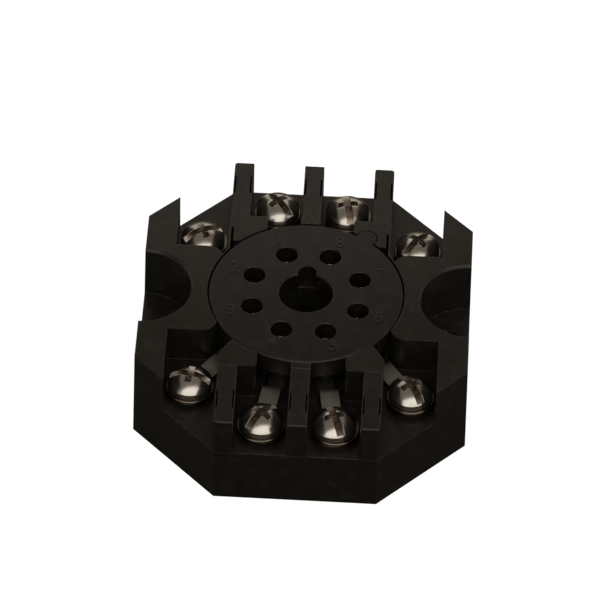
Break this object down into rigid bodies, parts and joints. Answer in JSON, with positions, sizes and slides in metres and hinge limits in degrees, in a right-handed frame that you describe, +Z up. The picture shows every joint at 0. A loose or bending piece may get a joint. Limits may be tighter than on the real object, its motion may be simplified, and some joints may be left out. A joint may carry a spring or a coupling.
{
  "type": "relay socket",
  "caption": "Flat octagonal relay socket with a keyed round pin face, barriered screw terminals and two recessed mounting holes.",
  "frame": {"origin": "centre of the underside", "axes": "+Z up out of the pin face, +Y towards the keyway, X across the two mounting ears"},
  "size_m": [0.0506, 0.0568, 0.0159],
  "materials": {
    "housing_plastic": "black moulded thermoset with a faint sheen",
    "disc_plastic": "black moulded thermoset with a faint sheen",
    "terminal_metal": "dull nickel-plated sheet",
    "contact_metal": "dull nickel-plated spring sheet",
    "washer_steel": "nickel-plated",
    "screw_steel": "bright nickel-plated"
  },
  "bodies": {
    "socket": {"housing": "housing_plastic", "socket_disc": "disc_plastic", "barrier_1": "housing_plastic", "barrier_2": "housing_plastic", "barrier_3": "housing_plastic", "barrier_4": "housing_plastic", "barrier_5": "housing_plastic", "barrier_6": "housing_plastic", "terminal_1": "terminal_metal", "terminal_2": "terminal_metal", "terminal_3": "terminal_metal", "terminal_4": "terminal_metal", "terminal_5": "terminal_metal", "terminal_6": "terminal_metal", "terminal_7": "terminal_metal", "terminal_8": "terminal_metal", "contact_1": "contact_metal", "contact_2": "contact_metal", "contact_3": "contact_metal", "contact_4": "contact_metal", "contact_5": "contact_metal", "contact_6": "contact_metal", "contact_7": "contact_metal", "contact_8": "contact_metal"},
    "washer_1": {"washer_1": "washer_steel"},
    "screw_1": {"screw_1": "screw_steel"},
    "washer_2": {"washer_2": "washer_steel"},
    "screw_2": {"screw_2": "screw_steel"},
    "washer_3": {"washer_3": "washer_steel"},
    "screw_3": {"screw_3": "screw_steel"},
    "washer_4": {"washer_4": "washer_steel"},
    "screw_4": {"screw_4": "screw_steel"},
    "washer_5": {"washer_5": "washer_steel"},
    "screw_5": {"screw_5": "screw_steel"},
    "washer_6": {"washer_6": "washer_steel"},
    "screw_6": {"screw_6": "screw_steel"},
    "washer_7": {"washer_7": "washer_steel"},
    "screw_7": {"screw_7": "screw_steel"},
    "washer_8": {"washer_8": "washer_steel"},
    "screw_8": {"screw_8": "screw_steel"}
  },
  "joints": [
    {"name": "screw_rise_1", "type": "slide", "parent": "socket", "child": "washer_1", "axis": [0, 0, 1], "range_m": [0, 0.00238]},
    {"name": "screw_turn_1", "type": "hinge", "parent": "washer_1", "child": "screw_1", "pos_m": [-0.00545, 0.0229, 0.0102], "axis": [0, 0, 1], "range_deg": [0, 1080]},
    {"name": "screw_rise_2", "type": "slide", "parent": "socket", "child": "washer_2", "axis": [0, 0, 1], "range_m": [0, 0.00238]},
    {"name": "screw_turn_2", "type": "hinge", "parent": "washer_2", "child": "screw_2", "pos_m": [-0.01665, 0.0156, 0.0102], "axis": [0, 0, 1], "range_deg": [0, 1080]},
    {"name": "screw_rise_3", "type": "slide", "parent": "socket", "child": "washer_3", "axis": [0, 0, 1], "range_m": [0, 0.00238]},
    {"name": "screw_turn_3", "type": "hinge", "parent": "washer_3", "child": "screw_3", "pos_m": [-0.01665, -0.0156, 0.0102], "axis": [0, 0, 1], "range_deg": [0, 1080]},
    {"name": "screw_rise_4", "type": "slide", "parent": "socket", "child": "washer_4", "axis": [0, 0, 1], "range_m": [0, 0.00238]},
    {"name": "screw_turn_4", "type": "hinge", "parent": "washer_4", "child": "screw_4", "pos_m": [-0.00545, -0.0229, 0.0102], "axis": [0, 0, 1], "range_deg": [0, 1080]},
    {"name": "screw_rise_5", "type": "slide", "parent": "socket", "child": "washer_5", "axis": [0, 0, 1], "range_m": [0, 0.00238]},
    {"name": "screw_turn_5", "type": "hinge", "parent": "washer_5", "child": "screw_5", "pos_m": [0.00545, -0.0229, 0.0102], "axis": [0, 0, 1], "range_deg": [0, 1080]},
    {"name": "screw_rise_6", "type": "slide", "parent": "socket", "child": "washer_6", "axis": [0, 0, 1], "range_m": [0, 0.00238]},
    {"name": "screw_turn_6", "type": "hinge", "parent": "washer_6", "child": "screw_6", "pos_m": [0.01665, -0.0156, 0.0102], "axis": [0, 0, 1], "range_deg": [0, 1080]},
    {"name": "screw_rise_7", "type": "slide", "parent": "socket", "child": "washer_7", "axis": [0, 0, 1], "range_m": [0, 0.00238]},
    {"name": "screw_turn_7", "type": "hinge", "parent": "washer_7", "child": "screw_7", "pos_m": [0.01665, 0.0156, 0.0102], "axis": [0, 0, 1], "range_deg": [0, 1080]},
    {"name": "screw_rise_8", "type": "slide", "parent": "socket", "child": "washer_8", "axis": [0, 0, 1], "range_m": [0, 0.00238]},
    {"name": "screw_turn_8", "type": "hinge", "parent": "washer_8", "child": "screw_8", "pos_m": [0.00545, 0.0229, 0.0102], "axis": [0, 0, 1], "range_deg": [0, 1080]}
  ],
  "couplings": [
    {"joint": "screw_turn_1", "follows": "screw_rise_1", "rad_per_m": 7915.8},
    {"joint": "screw_turn_2", "follows": "screw_rise_2", "rad_per_m": 7915.8},
    {"joint": "screw_turn_3", "follows": "screw_rise_3", "rad_per_m": 7915.8},
    {"joint": "screw_turn_4", "follows": "screw_rise_4", "rad_per_m": 7915.8},
    {"joint": "screw_turn_5", "follows": "screw_rise_5", "rad_per_m": 7915.8},
    {"joint": "screw_turn_6", "follows": "screw_rise_6", "rad_per_m": 7915.8},
    {"joint": "screw_turn_7", "follows": "screw_rise_7", "rad_per_m": 7915.8},
    {"joint": "screw_turn_8", "follows": "screw_rise_8", "rad_per_m": 7915.8}
  ]
}
